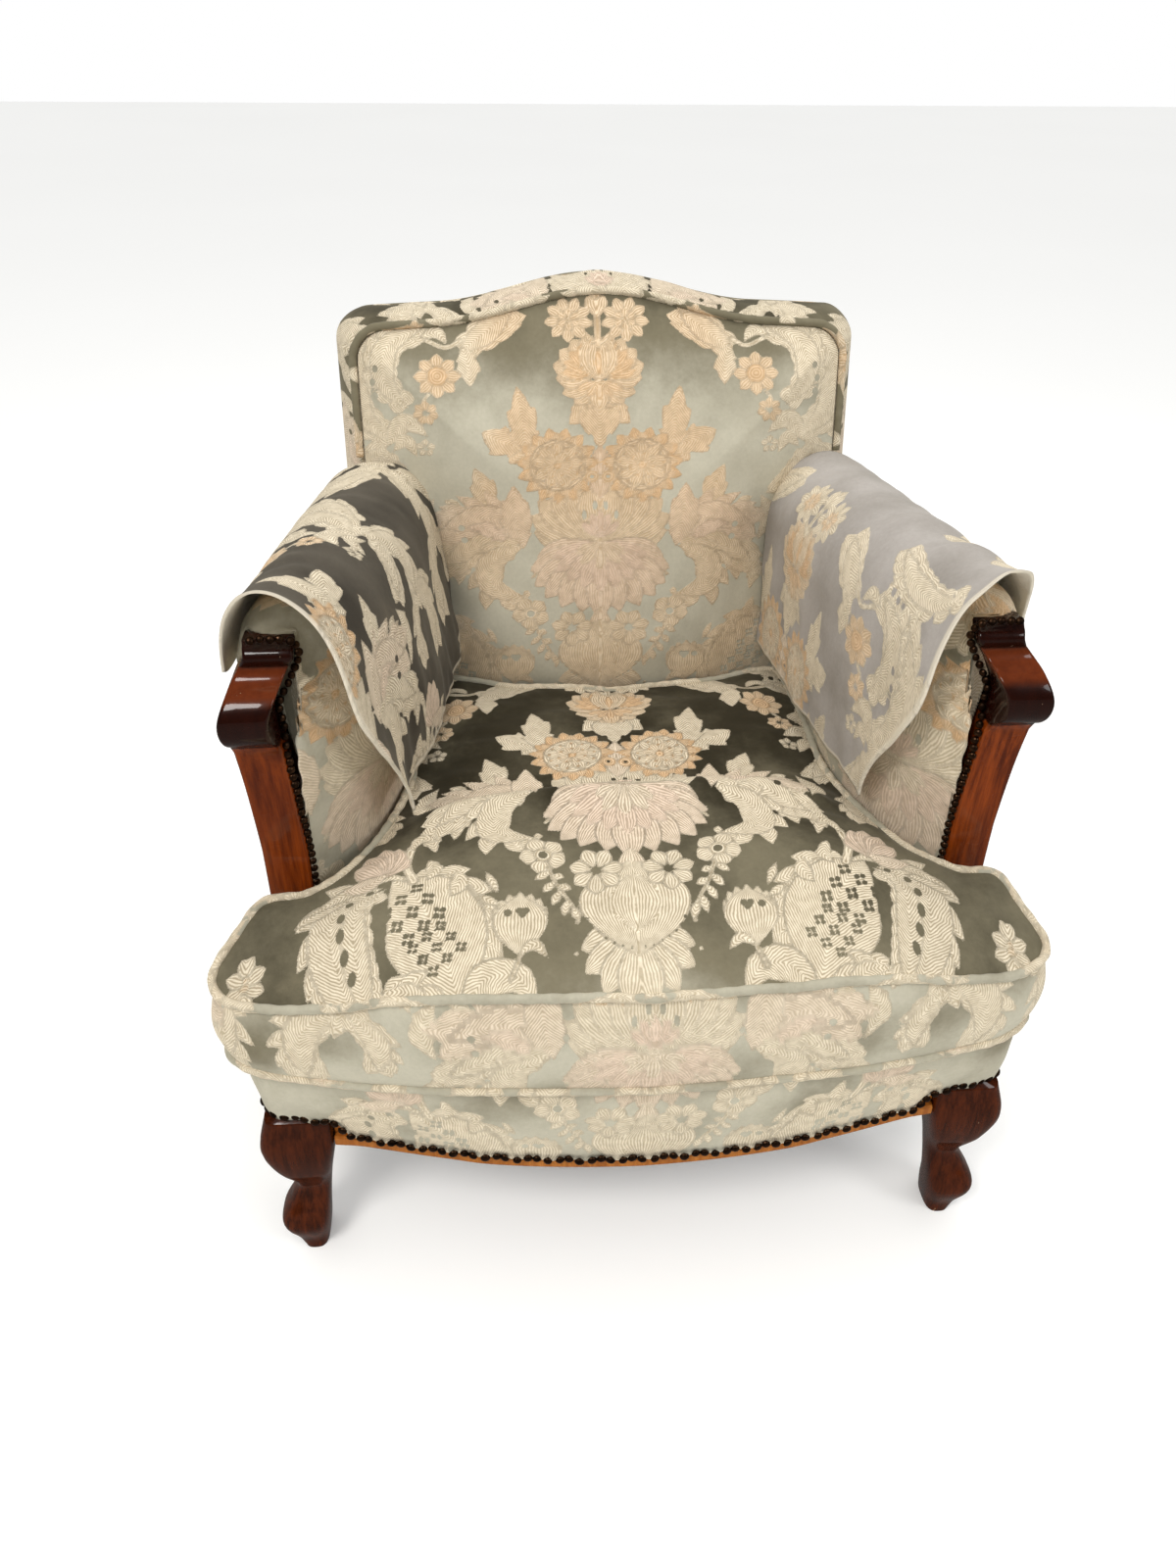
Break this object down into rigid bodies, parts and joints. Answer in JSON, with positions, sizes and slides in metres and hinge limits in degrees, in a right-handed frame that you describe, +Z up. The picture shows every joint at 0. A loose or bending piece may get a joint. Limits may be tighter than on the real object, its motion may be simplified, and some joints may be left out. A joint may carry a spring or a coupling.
{
  "type": "sagging old armchair",
  "caption": "Worn upholstered armchair with a camel-topped back, scrolled wooden arm posts, a loose T-shaped seat cushion, loose arm covers and short cabriole legs.",
  "frame": {"origin": "middle of the chair's footprint box, on the floor", "axes": "+Z up, +Y towards the back, +X to the right of someone looking at the chair's front"},
  "size_m": [0.756, 0.7558, 0.8403],
  "materials": {
    "show_wood": "gloss",
    "dark_wood": "gloss",
    "frame_wood": "matte",
    "floral_velvet": "matte",
    "plain_velvet": "matte",
    "pale_cap_velvet": "matte",
    "dark_cap_velvet": "matte",
    "lining": "matte",
    "jute": "matte",
    "cambric": "matte",
    "spring_steel": "worn",
    "nail_bronze": "antique"
  },
  "bodies": {
    "root": {"front_leg_right": "dark_wood", "front_leg_left": "dark_wood", "back_post_right": "dark_wood", "back_post_left": "dark_wood", "side_rail_right": "frame_wood", "side_rail_left": "frame_wood", "front_corner_block_right": "frame_wood", "front_corner_block_left": "frame_wood", "rear_corner_block_right": "frame_wood", "rear_corner_block_left": "frame_wood", "arm_post_right": "show_wood", "arm_post_left": "show_wood", "arm_pad_right": "floral_velvet", "arm_pad_left": "floral_velvet", "arm_rail_right": "frame_wood", "arm_rail_left": "frame_wood", "outside_arm_right": "floral_velvet", "outside_arm_left": "floral_velvet", "arm_cap_right": "pale_cap_velvet", "arm_cap_left": "dark_cap_velvet", "front_rail": "show_wood", "seat_back_rail": "frame_wood", "crest_rail": "frame_wood", "back_stay_rail": "frame_wood", "seat_webbing": "jute", "back_webbing": "jute", "spring_hessian": "jute", "edge_roll": "jute", "seat_spring_1": "spring_steel", "seat_spring_2": "spring_steel", "seat_spring_3": "spring_steel", "seat_spring_4": "spring_steel", "seat_spring_5": "spring_steel", "seat_spring_6": "spring_steel", "seat_spring_7": "spring_steel", "seat_spring_8": "spring_steel", "seat_spring_9": "spring_steel", "seat_deck": "plain_velvet", "front_border": "floral_velvet", "seat_cushion": "floral_velvet", "cushion_welt_top": "floral_velvet", "cushion_welt_bottom": "floral_velvet", "inside_back": "floral_velvet", "back_border": "floral_velvet", "back_welt": "floral_velvet", "outside_back": "plain_velvet", "dust_cover": "cambric"}
  },
  "joints": []
}
